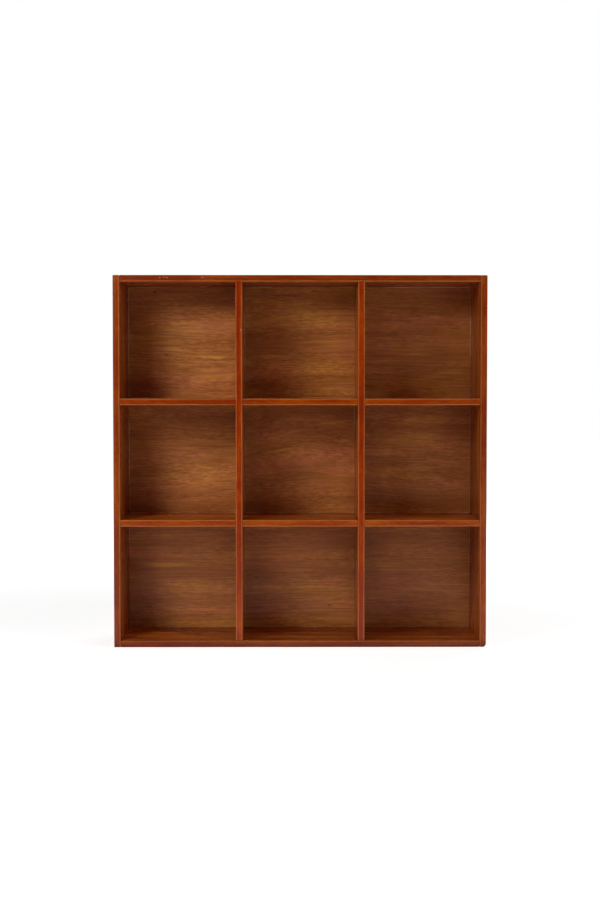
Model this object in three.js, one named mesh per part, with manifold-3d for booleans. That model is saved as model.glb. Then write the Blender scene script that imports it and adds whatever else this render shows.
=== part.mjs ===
// A nine-cell display shelf: an open wooden case holding two dividers and two shelves that
// interlock, closed behind by a thin plywood panel and put together with glue and wire brads.
//
// Millimetres. +X is the viewer's right, +Y runs from the open front to the back, +Z is up.
// The origin is on the underside, at the middle of the width and of the depth.

import * as THREE from "three";
import { mergeVertices } from "three/addons/utils/BufferGeometryUtils.js";
import Module from "manifold-3d";

const wasm = await Module();
wasm.setup();

// ---- Driving dimensions ----

const WIDTH = 400; // over the two sides
const HEIGHT = 399; // over the sides' ends, which run the full height
const DEPTH = 100; // front edges to the back of the panel
const FRAME_BOARD = 7; // thickness of the sides, the top and the bottom
const GRID_BOARD = 7; // thickness of the dividers and the shelves
const TOP_ROW_EXTRA = 1.5; // how much taller the top row of cells is than the other two
const BACK_SHEET = 3; // thickness of the plywood back
const REBATE_WIDTH = 4; // how far the back's rebate is cut into a frame board
const GLUE_LINE = 0.2; // gap between two faces that are glued or nailed together
const SLOT_CLEARANCE = 0.3; // gap on each side of a board in its neighbour's slot
const SLOT_END_GAP = 0.5; // gap where the two slots of a crossing meet
const ROUNDED_CORNER = 3.5; // radius of the lower right corner, sanded rounder than the rest
const EASED_CORNER = 1.2; // radius of the other three outside corners

// Wire brads. A brad is a T cut from flat wire, with a chisel point.
const BRAD_WIRE = 1.0; // thickness of the wire
const BRAD_SHANK = 1.25; // width of the shank
const BRAD_HEAD = 2.0; // width of the head
const BRAD_HEAD_HEIGHT = 0.6;
const BRAD_POINT = 1.2; // length of the chisel point
const BRAD_TIP = 0.3; // width of the point's flat end
const CASE_BRAD_LENGTH = 25; // brads that join the boards
const CASE_BRAD_SET = 0.8; // how far their heads are driven below the surface, for putty
const BACK_BRAD_LENGTH = 12; // brads that hold the plywood back
const BACK_BRAD_SET = 0; // their heads stay flush with the plywood
const BRAD_CLEARANCE = 0.15; // gap all round a brad in its hole
const CORNER_BRADS = 3; // in each corner of the case
const CORNER_BRAD_MARGIN = 16; // from the front and rear edges to the outer brads of a corner
const JOINT_BRADS = 2; // in each end of a divider or a shelf
const JOINT_BRAD_MARGIN = 25; // from the front and rear edges to those

const COLUMNS = 3;
const ROWS = 3;
const CORNER_STEPS = 6; // straight pieces in the arc of a rounded corner

// ---- Places worked out from them ----

const front = -DEPTH / 2;
const back = DEPTH / 2;
const backSheetFront = back - BACK_SHEET;
const gridBack = backSheetFront - GLUE_LINE; // rear edges of the dividers and the shelves
const crossingMiddle = (front + gridBack) / 2; // where the slots of a crossing meet
const innerHalfWidth = WIDTH / 2 - FRAME_BOARD;
const innerBottom = FRAME_BOARD;
const innerTop = HEIGHT - FRAME_BOARD;

const cellWidth = (2 * innerHalfWidth - (COLUMNS - 1) * GRID_BOARD) / COLUMNS;
const cellHeight = (innerTop - innerBottom - (ROWS - 1) * GRID_BOARD - TOP_ROW_EXTRA) / ROWS;

const dividerX = (i) => -innerHalfWidth + (i + 1) * cellWidth + (i + 0.5) * GRID_BOARD;
const shelfZ = (i) => innerBottom + (i + 1) * cellHeight + (i + 0.5) * GRID_BOARD;

// Middles of the columns and of the rows of cells.
const columnMiddles = [-1, 0, 1].map((i) => i * (cellWidth + GRID_BOARD));
const rowMiddles = [0, 1, 2].map((i) => {
  const low = innerBottom + i * (cellHeight + GRID_BOARD);
  const height = cellHeight + (i === ROWS - 1 ? TOP_ROW_EXTRA : 0);
  return low + height / 2;
});

const dividers = [
  { name: "left_divider", x: dividerX(0) },
  { name: "right_divider", x: dividerX(1) },
];
const shelves = [
  { name: "lower_shelf", z: shelfZ(0) },
  { name: "upper_shelf", z: shelfZ(1) },
];

// ---- Materials ----

const stainedWood = (color) => new THREE.MeshStandardMaterial({ color, roughness: 0.45, metalness: 0 });
const frameWood = stainedWood(0x8f3f14);
const gridWood = stainedWood(0x97440f);
const plywood = new THREE.MeshStandardMaterial({ color: 0x6b3c20, roughness: 0.6, metalness: 0 });
const steel = new THREE.MeshStandardMaterial({ color: 0x9a9ca0, roughness: 0.35, metalness: 1 });

// ---- Solids ----

// A closed three.js geometry as a manifold solid.
function solidOf(geometry) {
  const bare = geometry.index ? geometry.toNonIndexed() : geometry.clone();
  bare.deleteAttribute("normal");
  bare.deleteAttribute("uv");
  const merged = mergeVertices(bare, 1e-4);
  return new wasm.Manifold(
    new wasm.Mesh({
      numProp: 3,
      vertProperties: merged.attributes.position.array,
      triVerts: new Uint32Array(merged.index.array),
    }),
  );
}

// A manifold solid as a three.js geometry.
function geometryOf(solid) {
  const { numProp, numVert, vertProperties, triVerts } = solid.getMesh();
  const positions = new Float32Array(numVert * 3);
  for (let i = 0; i < numVert; i++) {
    positions.set(vertProperties.subarray(i * numProp, i * numProp + 3), i * 3);
  }
  const geometry = new THREE.BufferGeometry()
    .setAttribute("position", new THREE.BufferAttribute(positions, 3))
    .setIndex(new THREE.BufferAttribute(triVerts, 1))
    .toNonIndexed();
  geometry.computeVertexNormals();
  return geometry;
}

// A block between two corners, [x, y, z] each.
function block(low, high) {
  const size = high.map((h, i) => h - low[i]);
  const geometry = new THREE.BoxGeometry(...size);
  geometry.translate(...low.map((l, i) => l + size[i] / 2));
  return solidOf(geometry);
}

// A mesh placed at the middle of a solid that is given in the shelf's own frame.
function place(name, solid, material) {
  const geometry = geometryOf(solid);
  geometry.computeBoundingBox();
  const middle = geometry.boundingBox.getCenter(new THREE.Vector3());
  geometry.translate(-middle.x, -middle.y, -middle.z);
  const mesh = new THREE.Mesh(geometry, material);
  mesh.name = name;
  mesh.position.copy(middle);
  return mesh;
}

// ---- Brads ----

// Outline of a brad driven along -Y from Y = 0, or of its hole where it is grown all round and runs
// up to `top`, past the board's face.
function bradOutline(length, grow, top) {
  const head = BRAD_HEAD / 2 + grow;
  const shank = BRAD_SHANK / 2 + grow;
  const tip = BRAD_TIP / 2 + grow;
  const underHead = -BRAD_HEAD_HEIGHT - grow;
  const pointStart = BRAD_POINT - length;
  const end = -length - grow;
  const half = [[tip, end], [shank, pointStart], [shank, underHead], [head, underHead], [head, top]];
  const otherHalf = half.map(([x, y]) => [-x, y]).reverse();
  return new THREE.Shape([...half, ...otherHalf].map(([x, y]) => new THREE.Vector2(x, y)));
}

function bradGeometry(length, grow, top) {
  const thickness = BRAD_WIRE + 2 * grow;
  const outline = bradOutline(length, grow, top);
  const geometry = new THREE.ExtrudeGeometry(outline, { depth: thickness, bevelEnabled: false });
  return geometry.translate(0, 0, -thickness / 2);
}

// Turns from -Y to the direction in which a brad is driven. The width of its head lies along the
// board's edge, so that the thin side of the wire is across the board's thickness.
const quarter = Math.PI / 2;
const turns = {
  right: new THREE.Euler(0, 0, quarter),
  left: new THREE.Euler(0, 0, -quarter),
  down: new THREE.Euler(quarter, 0, quarter, "ZYX"),
  up: new THREE.Euler(-quarter, 0, quarter, "ZYX"),
  forward: new THREE.Euler(0, 0, 0),
};

const caseBrad = { length: CASE_BRAD_LENGTH, set: CASE_BRAD_SET };
const backBrad = { length: BACK_BRAD_LENGTH, set: BACK_BRAD_SET };
const brads = [];

// Adds a brad driven from `at`, a point on a board's outer face, through one board into another.
function addBrad(name, { length, set }, at, direction, boards) {
  const way = new THREE.Vector3(0, -1, 0).applyEuler(turns[direction]);
  const mesh = new THREE.Mesh(bradGeometry(length, 0, 0), steel);
  mesh.name = name;
  mesh.position.set(...at).addScaledVector(way, set);
  mesh.rotation.copy(turns[direction]);
  mesh.updateMatrix();
  const hole = bradGeometry(length, BRAD_CLEARANCE, set + BRAD_HEAD).applyMatrix4(mesh.matrix);
  brads.push({ mesh, hole: solidOf(hole), boards });
}

// Places spaced evenly between two margins of a board's depth.
function alongDepth(count, margin) {
  const step = (DEPTH - 2 * margin) / (count - 1);
  return Array.from({ length: count }, (_, i) => front + margin + i * step);
}

const frameSides = [
  { name: "left_side", x: -WIDTH / 2, inward: "right" },
  { name: "right_side", x: WIDTH / 2, inward: "left" },
];
const frameEnds = [
  { name: "bottom_board", z: 0, middle: FRAME_BOARD / 2, inward: "up" },
  { name: "top_board", z: HEIGHT, middle: HEIGHT - FRAME_BOARD / 2, inward: "down" },
];

for (const side of frameSides) {
  for (const end of frameEnds) {
    alongDepth(CORNER_BRADS, CORNER_BRAD_MARGIN).forEach((y, i) => {
      const name = `brad_${side.name}_${end.name}_${i + 1}`;
      addBrad(name, caseBrad, [side.x, y, end.middle], side.inward, [side.name, end.name]);
    });
  }
  for (const shelf of shelves) {
    alongDepth(JOINT_BRADS, JOINT_BRAD_MARGIN).forEach((y, i) => {
      const name = `brad_${side.name}_${shelf.name}_${i + 1}`;
      addBrad(name, caseBrad, [side.x, y, shelf.z], side.inward, [side.name, shelf.name]);
    });
  }
}
for (const end of frameEnds) {
  for (const divider of dividers) {
    alongDepth(JOINT_BRADS, JOINT_BRAD_MARGIN).forEach((y, i) => {
      const name = `brad_${end.name}_${divider.name}_${i + 1}`;
      addBrad(name, caseBrad, [divider.x, y, end.z], end.inward, [end.name, divider.name]);
    });
  }
}

// The back is nailed into the rebates' lands all round, and into the grid beside the middle cell.
const landX = innerHalfWidth + REBATE_WIDTH / 2;
const landTop = innerTop + REBATE_WIDTH / 2;
const landBottom = innerBottom - REBATE_WIDTH / 2;
const backBrads = [
  ...rowMiddles.map((z, i) => [`left_${i + 1}`, -landX, z, "left_side"]),
  ...rowMiddles.map((z, i) => [`right_${i + 1}`, landX, z, "right_side"]),
  ...columnMiddles.map((x, i) => [`bottom_${i + 1}`, x, landBottom, "bottom_board"]),
  ...columnMiddles.map((x, i) => [`top_${i + 1}`, x, landTop, "top_board"]),
  ...dividers.map((d) => [d.name, d.x, rowMiddles[1], d.name]),
  ...shelves.map((s) => [s.name, columnMiddles[1], s.z, s.name]),
];
for (const [label, x, z, into] of backBrads) {
  addBrad(`brad_back_${label}`, backBrad, [x, back, z], "forward", ["back_panel", into]);
}

// A board's solid with the holes of its brads cut out.
function drilled(name, solid) {
  const holes = brads.filter((brad) => brad.boards.includes(name));
  return holes.reduce((rest, brad) => rest.subtract(brad.hole), solid);
}

// ---- The case ----

// A side's outline from the front, given for the right side: its outer corners are rounded.
function sideOutline(bottomRadius, topRadius) {
  const outer = WIDTH / 2;
  const shape = new THREE.Shape();
  shape.moveTo(innerHalfWidth, 0);
  shape.lineTo(outer - bottomRadius, 0);
  shape.absarc(outer - bottomRadius, bottomRadius, bottomRadius, -Math.PI / 2, 0, false);
  shape.lineTo(outer, HEIGHT - topRadius);
  shape.absarc(outer - topRadius, HEIGHT - topRadius, topRadius, 0, Math.PI / 2, false);
  shape.lineTo(innerHalfWidth, HEIGHT);
  return shape;
}

// Room for the plywood back in the rear inside edges of the four frame boards.
const rebate = block(
  [-innerHalfWidth - REBATE_WIDTH, gridBack, innerBottom - REBATE_WIDTH],
  [innerHalfWidth + REBATE_WIDTH, back + 1, innerTop + REBATE_WIDTH],
);

function side({ name }, bottomRadius) {
  const outline = sideOutline(bottomRadius, EASED_CORNER);
  const geometry = new THREE.ExtrudeGeometry(outline, {
    depth: DEPTH,
    bevelEnabled: false,
    curveSegments: CORNER_STEPS,
  });
  geometry.rotateX(Math.PI / 2); // the outline's height turns up, and its depth runs towards -Y
  geometry.translate(0, back, 0);
  if (name === "left_side") geometry.rotateZ(Math.PI);
  return place(name, drilled(name, solidOf(geometry).subtract(rebate)), frameWood);
}

// The top and the bottom lie between the sides.
function end({ name, middle }) {
  const halfLength = innerHalfWidth - GLUE_LINE;
  const board = block(
    [-halfLength, front, middle - FRAME_BOARD / 2],
    [halfLength, back, middle + FRAME_BOARD / 2],
  );
  return place(name, drilled(name, board.subtract(rebate)), frameWood);
}

const frame = new THREE.Group();
frame.add(
  side(frameSides[0], EASED_CORNER),
  side(frameSides[1], ROUNDED_CORNER),
  ...frameEnds.map(end),
);

// ---- The grid ----

const slotHalfWidth = GRID_BOARD / 2 + SLOT_CLEARANCE;

// A divider is whole in front, and slotted from the rear where the shelves cross it.
function divider({ name, x }) {
  const board = block(
    [x - GRID_BOARD / 2, front, innerBottom + GLUE_LINE],
    [x + GRID_BOARD / 2, gridBack, innerTop - GLUE_LINE],
  );
  const slots = shelves.map((shelf) =>
    block(
      [x - GRID_BOARD, crossingMiddle - SLOT_END_GAP / 2, shelf.z - slotHalfWidth],
      [x + GRID_BOARD, gridBack + 1, shelf.z + slotHalfWidth],
    ),
  );
  const slotted = slots.reduce((rest, slot) => rest.subtract(slot), board);
  return place(name, drilled(name, slotted), gridWood);
}

// A shelf is whole at the rear, and slotted from the front where the dividers cross it.
function shelf({ name, z }) {
  const halfLength = innerHalfWidth - GLUE_LINE;
  const board = block(
    [-halfLength, front, z - GRID_BOARD / 2],
    [halfLength, gridBack, z + GRID_BOARD / 2],
  );
  const slots = dividers.map((crossed) =>
    block(
      [crossed.x - slotHalfWidth, front - 1, z - GRID_BOARD],
      [crossed.x + slotHalfWidth, crossingMiddle + SLOT_END_GAP / 2, z + GRID_BOARD],
    ),
  );
  const slotted = slots.reduce((rest, slot) => rest.subtract(slot), board);
  return place(name, drilled(name, slotted), gridWood);
}

const grid = new THREE.Group();
grid.add(...dividers.map(divider), ...shelves.map(shelf));

// ---- The back ----

const sheetEdge = REBATE_WIDTH - GLUE_LINE;
const sheet = block(
  [-innerHalfWidth - sheetEdge, backSheetFront, innerBottom - sheetEdge],
  [innerHalfWidth + sheetEdge, back, innerTop + sheetEdge],
);

const nineCellShelf = new THREE.Group();
nineCellShelf.add(frame, grid, place("back_panel", drilled("back_panel", sheet), plywood));

const fasteners = new THREE.Group();
fasteners.add(...brads.map((brad) => brad.mesh));
nineCellShelf.add(fasteners);

export default nineCellShelf;
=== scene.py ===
import math

import bmesh
import bpy
import numpy as np
from bpy.props import FloatProperty, FloatVectorProperty, PointerProperty
from bpy.types import Operator, Panel, PropertyGroup
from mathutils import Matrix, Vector


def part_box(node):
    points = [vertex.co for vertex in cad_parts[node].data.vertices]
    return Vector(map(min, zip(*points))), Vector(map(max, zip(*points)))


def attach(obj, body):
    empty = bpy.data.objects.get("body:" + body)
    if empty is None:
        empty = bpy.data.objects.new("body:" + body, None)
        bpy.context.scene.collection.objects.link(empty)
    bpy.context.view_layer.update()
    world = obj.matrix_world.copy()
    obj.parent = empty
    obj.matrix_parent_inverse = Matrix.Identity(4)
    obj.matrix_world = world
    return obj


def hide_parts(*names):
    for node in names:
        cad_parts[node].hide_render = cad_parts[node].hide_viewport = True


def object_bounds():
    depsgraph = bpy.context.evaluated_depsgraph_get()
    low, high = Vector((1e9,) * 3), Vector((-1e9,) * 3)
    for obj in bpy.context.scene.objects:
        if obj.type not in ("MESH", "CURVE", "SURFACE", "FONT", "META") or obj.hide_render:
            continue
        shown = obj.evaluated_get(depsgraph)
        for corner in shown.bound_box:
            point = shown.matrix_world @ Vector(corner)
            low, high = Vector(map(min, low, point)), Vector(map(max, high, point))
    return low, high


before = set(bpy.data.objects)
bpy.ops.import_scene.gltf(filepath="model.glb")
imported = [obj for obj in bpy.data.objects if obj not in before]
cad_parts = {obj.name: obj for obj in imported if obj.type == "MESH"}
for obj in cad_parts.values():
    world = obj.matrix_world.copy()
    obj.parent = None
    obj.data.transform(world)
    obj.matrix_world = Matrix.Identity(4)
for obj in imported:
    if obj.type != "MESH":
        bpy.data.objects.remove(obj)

bl_info = {
    "name": "Nine-Cell Shelf",
    "version": (1, 0, 0),
    "blender": (4, 5, 0),
    "location": "View3D > Sidebar > Shelf",
    "description": "Builds the finished boards, panel and fixings of a nine-cell box shelf",
    "category": "Object",
}

MM = 0.001
BODY = "root"
CAD_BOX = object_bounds()

SHELF_MIDDLE = (CAD_BOX[0] + CAD_BOX[1]) / 2
ORIGIN = (0.0, 0.0, 0.0)
WHITE = (1.0, 1.0, 1.0, 1.0)

# Each plate has the axes of its grain, of its other long side and of its thickness. The seed tells its
# timber from the others', and edge_darkening, where given, is how much darker its front edge is drawn.
X, Y, Z = 0, 1, 2
UPRIGHT = (Z, Y, X)
LEVEL = (X, Y, Z)
CASE_BOARDS = {
    "left_side": {"axes": UPRIGHT, "seed": 11, "edge_darkening": 0.45},
    "right_side": {"axes": UPRIGHT, "seed": 12, "edge_darkening": 0.5},
    "top_board": {"axes": LEVEL, "seed": 13, "edge_darkening": 1.1},
    "bottom_board": {"axes": LEVEL, "seed": 14, "edge_darkening": 1.0},
}
DIVIDERS = {
    "left_divider": {"axes": UPRIGHT, "seed": 21},
    "right_divider": {"axes": UPRIGHT, "seed": 22},
}
SHELVES = {
    "lower_shelf": {"axes": LEVEL, "seed": 23},
    "upper_shelf": {"axes": LEVEL, "seed": 24},
}
PANEL = {"back_panel": {"axes": (X, Z, Y), "seed": 31}}
PLATES = {**CASE_BOARDS, **DIVIDERS, **SHELVES, **PANEL}
BOXES = {name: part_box(name) for name in PLATES}
PANEL_FRONT = BOXES["back_panel"][0].y
SHELF_FRONT = BOXES["left_side"][0].y

# Marks of this one shelf, in millimetres across from its middle and up from the ground. A flame of
# the veneer has its half length, half height, slope, and strength, which is negative in a dark one.
# The eight broad dark ones at the end of the table are painted shade over the right column and the
# lower parts of some cells.
FLAMES_AND_SHADE = (
    (-138, 322, 24, 3.2, -0.10, 0.6), (-97, 314, 26, 3.4, -0.04, 0.8), (-107, 379, 32, 6.0, -0.10, 0.3),
    (-89, 305, 10, 3.0, 0.0, -0.7), (-136, 336, 13, 3.5, -0.15, -0.4), (-100, 290, 40, 5.0, 0.0, 0.35),
    (-19, 374, 42, 3.0, -0.05, 0.7), (-2, 381, 26, 1.8, -0.08, -0.5), (-22, 344, 14, 3.0, 0.0, -0.6),
    (-17, 326, 20, 5.0, 0.0, -0.4), (-30, 314, 36, 3.2, 0.0, 0.5), (20, 296, 32, 5.0, 0.0, 0.3),
    (134, 368, 12, 2.2, 0.0, -0.6), (152, 359, 14, 2.8, 0.0, 0.6), (108, 340, 12, 3.5, 0.0, -0.4),
    (136, 316, 40, 2.6, 0.0, 0.5), (172, 296, 26, 4.0, 0.0, 0.5), (172, 288, 30, 1.8, -0.05, -0.7),
    (-112, 172, 30, 12.0, 0.1, 0.3), (29, 238, 34, 1.5, 0.08, 0.6), (42, 231, 26, 4.0, 0.12, -0.5),
    (102, 244, 32, 1.3, 0.165, -0.8), (168, 239, 14, 1.3, 0.35, -0.7), (150, 245, 12, 4.0, 0.1, 0.4),
    (104, 186, 12, 5.0, 0.1, 0.4), (172, 170, 18, 1.8, 0.0, 0.4), (-142, 95, 18, 4.5, 0.0, -0.4),
    (-155, 78, 40, 3.8, -0.03, 0.8), (-96, 61, 10, 3.0, 0.0, -0.5), (-121, 55, 38, 2.0, 0.0, 0.6),
    (-111, 21, 34, 1.3, 0.03, -0.9), (-2, 72, 48, 3.4, 0.0, 0.6), (-44, 53, 24, 1.3, 0.06, 0.6),
    (20, 53, 28, 1.3, 0.0, 0.6), (-7, 30, 9, 2.6, 0.0, -0.7), (45, 28, 14, 1.4, 0.0, -0.7),
    (131, 50, 56, 1.3, -0.04, 0.8), (123, 101, 10, 3.0, 0.0, -0.5), (152, 72, 42, 3.2, 0.0, 0.5),
    # From the second entry on this line to the end, the entries are broad patches of painted shade.
    (79, 104, 8, 3.5, 0.0, -0.5), (190, 200, 36, 210, 0.0, -0.35), (140, 150, 50, 16, 0.0, -0.35),
    (130, 28, 60, 20, 0.0, -0.45), (53, 335, 16, 42, 0.0, -0.35), (152, 50, 58, 42, 0.0, -0.5),
    (160, 335, 48, 46, 0.0, -0.45), (165, 200, 40, 44, 0.0, -0.3), (-45, 25, 40, 14, 0.0, -0.3),
)
# A fleck of the veneer has its radius and strength; a mark on a front edge has its half width, half
# height and the name of its colour.
FLECKS = ((-163, 386.5, 1.5, 0.8), (-150.5, 316, 1.3, 0.7), (-132, 323, 0.8, 0.6),
          (-8, 146, 0.9, 0.5), (-89, 176.5, 1.0, 0.6), (58.5, 187, 0.8, 0.5), (34, 32, 1.5, 0.5))
CASE_MARKS = ((-149.5, 396.2, 1.5, 0.5, "scuff"), (-145.5, 396.8, 0.9, 0.4, "scuff"),
              (-142, 396.2, 1.2, 0.5, "scuff"), (-104, 396.5, 3.0, 0.6, "worn_highlit_edge"),
              (197, 262, 0.8, 9.0, "soaked"), (198.3, 4.3, 0.9, 1.7, "knot"))
GRID_MARKS = ((-63.5, 340.5, 0.8, 0.9, "scuff"), (-65.4, 175.3, 3.2, 7.5, "soaked"))


def middle_of(name):
    low, high = BOXES[name]
    return (low + high) / 2


# The middle of the grid's lower left crossing, and the distance from there to the upper right one.
CELL_START = Vector((middle_of("left_divider").x, 0.0, middle_of("lower_shelf").z))
CELL_PITCH = Vector((middle_of("right_divider").x, MM, middle_of("upper_shelf").z)) - CELL_START
# Painted shade: it lies more to the right of and below the boards than to the left of and above them.
SHADE_START = CELL_START + Vector((12, 0, -12)) * MM


# ---- Sizes, colours and lights that can be changed ----


def distance(name, description, default):
    """A distance property, given in millimetres."""
    return FloatProperty(name=name, description=description, default=default * MM,
                         min=0.0, unit="LENGTH", precision=5)


def colour(name, description, default):
    """A colour property, in linear light."""
    return FloatVectorProperty(name=name, description=description, default=default,
                               subtype="COLOR", size=3, min=0.0, max=1.0)


class ShelfSizes(PropertyGroup):
    arris: distance("Arris", "Radius of the eased edges of the boards", 0.55)
    panel_arris: distance("Panel arris", "Radius of the eased edges of the panel", 0.2)
    unevenness: FloatProperty(
        name="Unevenness", description="How much the arris varies along a hand-sanded edge",
        default=0.35, min=0.0, max=0.8, subtype="FACTOR")
    wave: distance("Wave", "Distance over which the arris widens and narrows", 18.0)
    wear_reach: distance("Wear reach", "How far the rubbed colour reaches past an arris", 0.7)
    edge_step: distance("Edge step", "Spacing of the points along an edge", 5.0)
    slot_fit: distance("Slot fit", "Gap on each side of a board in a slot", 0.3)
    lap_fit: distance("Lap fit", "Gap where the two slots of a crossing meet", 0.5)
    skin: distance("Sanded skin", "How far the outer faces lie inside the rough size", 0.1)
    rounded_corner: distance("Rounded corner", "Radius of the lower right corner", 4.0)
    eased_corner: distance("Eased corner", "Radius of the other outside corners", 1.2)
    glue_bead: distance("Glue bead", "Radius of the thickest glue bead", 0.6)
    putty_proud: distance("Putty", "How far the putty stands proud over a brad", 0.07)


class ShelfColours(PropertyGroup):
    stain: colour("Stain", "Stained faces where the coat is even", (0.64, 0.190, 0.024))
    stain_dark: colour("Dark stain", "Stained faces along the dark grain", (0.48, 0.110, 0.012))
    edge: colour("Divider edge", "The front edges of the dividers", (0.53, 0.072, 0.0006))
    edge_dark: colour("Dark divider edge", "The dividers' dark grain", (0.43, 0.048, 0.0004))
    shelf_edge: colour("Shelf edge", "The front edges of the shelves", (0.545, 0.098, 0.0010))
    shelf_edge_dark: colour("Dark shelf edge", "The shelf edges' dark grain", (0.45, 0.068, 0.0006))
    case_edge: colour("Case edge", "The front edges of the case", (0.50, 0.100, 0.007))
    case_edge_dark: colour("Dark case edge", "The case edges' dark grain", (0.41, 0.068, 0.004))
    # Painted light from above: faces that look up are drawn in this paler colour.
    lit_from_above: colour("Cell floor", "Faces that look up, where the coat is thinnest", (0.84, 0.270, 0.038))
    # Rubbed wood and painted highlight: the pale arrises are also drawn as if catching light from above.
    worn_highlit_edge: colour("Rubbed and highlit edge", "Wood where the stain is rubbed", (0.57, 0.170, 0.042))
    streak: colour("Streaks", "Tint that multiplies the wood along dark streaks", (0.66, 0.53, 0.44))
    patch: colour("Patches", "Tint that multiplies the wood where stain is heavy", (0.68, 0.45, 0.35))
    veneer: colour("Veneer", "The golden parts of the panel's veneer", (0.88, 0.405, 0.080))
    veneer_red: colour("Red veneer", "Greyer and redder patches of the veneer", (0.78, 0.270, 0.112))
    veneer_dark: colour("Dark veneer", "The dark bands of the veneer", (0.58, 0.215, 0.052))
    # Painted shade: this tint darkens the veneer along the boards of each cell.
    cell_shade: colour("Painted cell shade", "Tint that multiplies the veneer at the boards", (0.74, 0.68, 0.68))
    scuff: colour("Scuff", "Bare wood in a chip or a scuff", (0.70, 0.29, 0.15))
    soaked: colour("Soaked spot", "A spot where the stain soaked in", (0.33, 0.024, 0.0005))
    knot: colour("Knot", "Knots and dark flecks", (0.16, 0.030, 0.008))
    pore: colour("Pores", "Stain caught in the open pores", (0.07, 0.017, 0.006))
    glue: colour("Glue", "Dried glue along the panel", (0.92, 0.52, 0.26))
    putty: colour("Putty", "Filler over the brads", (0.33, 0.11, 0.035))
    steel: colour("Steel", "Wire of the brads", (0.45, 0.45, 0.46))
    rust: colour("Rust", "Rust on the brads", (0.20, 0.09, 0.05))
    floor: colour("Floor", "The pale floor", (0.80, 0.80, 0.80))


class StudioSettings(PropertyGroup):
    lens: FloatProperty(name="Lens", description="Focal length of the camera, in millimetres",
                        default=62.66, min=10.0)
    level: FloatProperty(name="Level", description="Brightness of all the lights together",
                         default=1.1, min=0.0)


def sizes():
    return bpy.context.scene.shelf_sizes


def colours():
    return bpy.context.scene.shelf_colours


def studio():
    return bpy.context.scene.shelf_studio


# ---- Outlines ----


def smooth_noise(places, spacing, seed):
    """Smooth noise from -1 to 1: random values a spacing apart, joined by half waves of a cosine."""
    values = np.random.default_rng(seed).uniform(-1, 1, int(places.max() / spacing) + 3)
    cell = np.floor(places / spacing).astype(int)
    share = 0.5 - 0.5 * np.cos(np.pi * (places / spacing - cell))
    return values[cell] * (1 - share) + values[cell + 1] * share


def eased_outline(corners, radius, reach, step, stops=()):
    """A closed outline through square corners, given counter-clockwise as (n, 2).

    An outside corner becomes a quarter circle, centre + radius * (cos t * n1 + sin t * n2), where
    n1 and n2 are the outward directions of its two edges. Between corners the outline goes in equal
    steps, from `reach` past one arc to `reach` before the next, and through the stops that lie on
    an edge, which are first coordinates. Returns the arcs' centres, the outward directions, the
    radii and the mitres of the points.
    """
    corners = np.array(corners, float)
    ways = np.roll(corners, -1, 0) - corners
    lengths = np.linalg.norm(ways, axis=1)
    ways /= lengths[:, None]
    outwards = np.stack([ways[:, 1], -ways[:, 0]], 1)
    turn = np.linspace(0, np.pi / 2, 4)[:, None]
    margin = radius + reach
    parts = []
    for i, corner in enumerate(corners):
        mitre = outwards[i - 1] + outwards[i]
        if ways[i - 1][0] * ways[i][1] > ways[i - 1][1] * ways[i][0]:
            arc = np.cos(turn) * outwards[i - 1] + np.sin(turn) * outwards[i]
            parts.append((corner - radius * mitre, arc, radius, mitre))
        else:
            parts.append((corner, mitre[None], 0.0, mitre))
        count = max(2, int((lengths[i] - 2 * margin) / step) + 1)
        places = np.linspace(margin, lengths[i] - margin, count)
        if abs(ways[i][0]) > 0.5:
            at = (np.array(stops) - corner[0]) * ways[i][0]
            at = at[(at > margin) & (at < lengths[i] - margin)]
            places = np.unique(np.concatenate([places, at]))
        line = corner + places[:, None] * ways[i]
        parts.append((line, np.repeat(outwards[i][None], len(line), 0), 0.0, outwards[i]))
    counts = [len(part[1]) for part in parts]
    centres = np.concatenate([np.broadcast_to(p[0], p[1].shape) for p in parts])
    directions = np.concatenate([p[1] for p in parts])
    radii = np.repeat([p[2] for p in parts], counts)
    mitres = np.repeat([p[3] for p in parts], counts, axis=0)
    return centres, directions, radii, mitres


def inset(outline, depth):
    """The outline moved inwards by a depth for each point: on an arc along the point's own direction
    as far as the centre, and past that, or on an edge, along the mitre."""
    centres, directions, radii, mitres = outline
    left = (radii - depth)[:, None]
    return centres + np.maximum(left, 0) * directions + np.minimum(left, 0) * mitres


# ---- Meshes ----


def make_piece(name, points, faces, attributes=None):
    """An object at the origin from points, faces and point attributes, with its doubles merged."""
    mesh = bpy.data.meshes.new(name)
    mesh.from_pydata(points.tolist(), [], faces)
    for key, values in (attributes or {}).items():
        vector = values.ndim == 2
        layer = mesh.attributes.new(key, "FLOAT_VECTOR" if vector else "FLOAT", "POINT")
        layer.data.foreach_set("vector" if vector else "value", values.astype(np.float32).ravel())
    tidy = bmesh.new()
    tidy.from_mesh(mesh)
    bmesh.ops.remove_doubles(tidy, verts=tidy.verts, dist=MM / 1000)
    bmesh.ops.dissolve_degenerate(tidy, edges=tidy.edges, dist=MM / 10000)
    tidy.to_mesh(mesh)
    tidy.free()
    mesh.polygons.foreach_set("use_smooth", np.ones(len(mesh.polygons), bool))
    piece = bpy.data.objects.new(name, mesh)
    bpy.context.scene.collection.objects.link(piece)
    return piece


def ring_faces(rings, count, flip=False):
    """Quads between successive closed rings of `count` points, and a face over each end."""
    ring, point = np.meshgrid(np.arange(rings - 1), np.arange(count), indexing="ij")
    following = (point + 1) % count
    quads = np.stack([ring * count + point, ring * count + following,
                      (ring + 1) * count + following, (ring + 1) * count + point], -1)
    last = (rings - 1) * count
    faces = [*quads.reshape(-1, 4).tolist(), list(range(count))[::-1], list(range(last, last + count))]
    return [face[::-1] for face in faces] if flip else faces


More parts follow.
